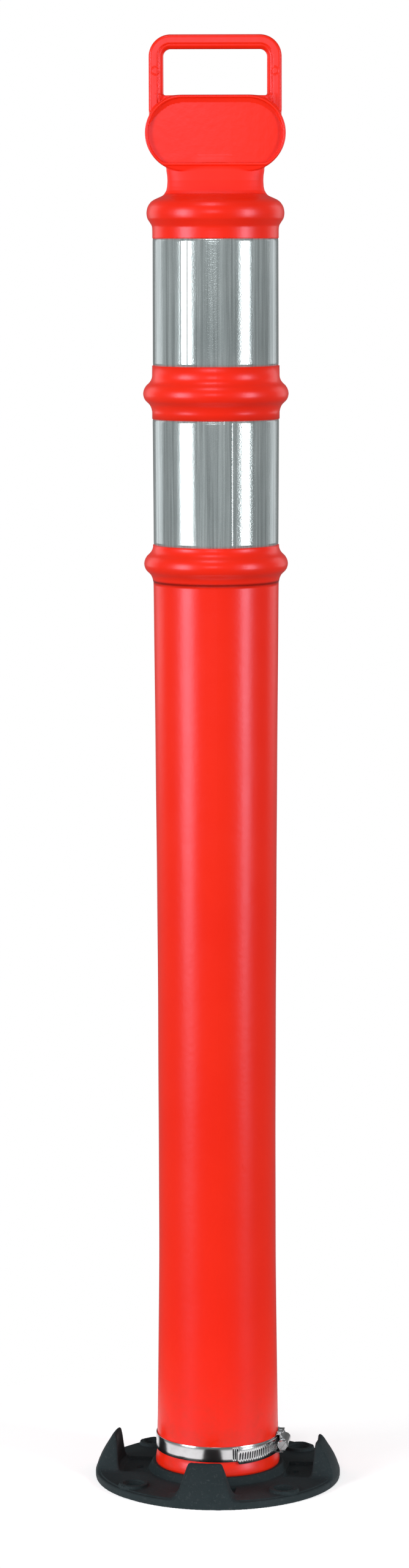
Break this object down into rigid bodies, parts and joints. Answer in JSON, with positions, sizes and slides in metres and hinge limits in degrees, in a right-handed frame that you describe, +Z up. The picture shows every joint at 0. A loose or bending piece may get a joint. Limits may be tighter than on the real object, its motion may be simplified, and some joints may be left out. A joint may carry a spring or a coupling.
{
  "type": "delineator post",
  "caption": "Flexible orange delineator post with a grab handle, reflective bands, a hose clamp at its foot and a round black bolt-down base with guard wings.",
  "frame": {"origin": "centre of the base's underside, on the post's axis, at ground level", "axes": "+Z up along the post, front of the paddle and handle facing -Y, clamp housing towards +X"},
  "size_m": [0.2032, 0.2032, 1.1814],
  "materials": {
    "orange_plastic": "satin",
    "black_rubber": "matt, fine-grained",
    "reflective_sheeting": "silver-white prismatic sheeting",
    "stainless_strap": "bright rolled",
    "stainless_housing": "pressed, satin"
  },
  "bodies": {
    "base": {"base": "black_rubber"},
    "post": {"post": "orange_plastic", "upper_reflective_band": "reflective_sheeting", "lower_reflective_band": "reflective_sheeting"},
    "clamp": {"clamp_strap": "stainless_strap", "clamp_housing": "stainless_housing", "clamp_saddle": "stainless_housing"},
    "tail": {"clamp_tail": "stainless_strap"},
    "screw": {"clamp_screw": "stainless_housing"}
  },
  "joints": [
    {"name": "post_lift", "type": "slide", "parent": "base", "child": "post", "axis": [0, 0, 1], "range_m": [0, 0.055]},
    {"name": "clamp_swivel", "type": "hinge", "parent": "post", "child": "clamp", "pos_m": [0, 0, 0.03155], "axis": [0, 0, 1], "continuous": true},
    {"name": "screw_turn", "type": "hinge", "parent": "clamp", "child": "screw", "pos_m": [0.05538, -0.0068, 0.03155], "axis": [-0.1219, -0.9925, 0], "range_deg": [0, 2880]},
    {"name": "tail_travel", "type": "hinge", "parent": "clamp", "child": "tail", "pos_m": [0, 0, 0.03155], "axis": [-0.0059, -0.0485, 0.9988], "range_deg": [0, 20.5]}
  ],
  "couplings": [
    {"joint": "tail_travel", "follows": "screw_turn", "ratio": 0.00705}
  ]
}
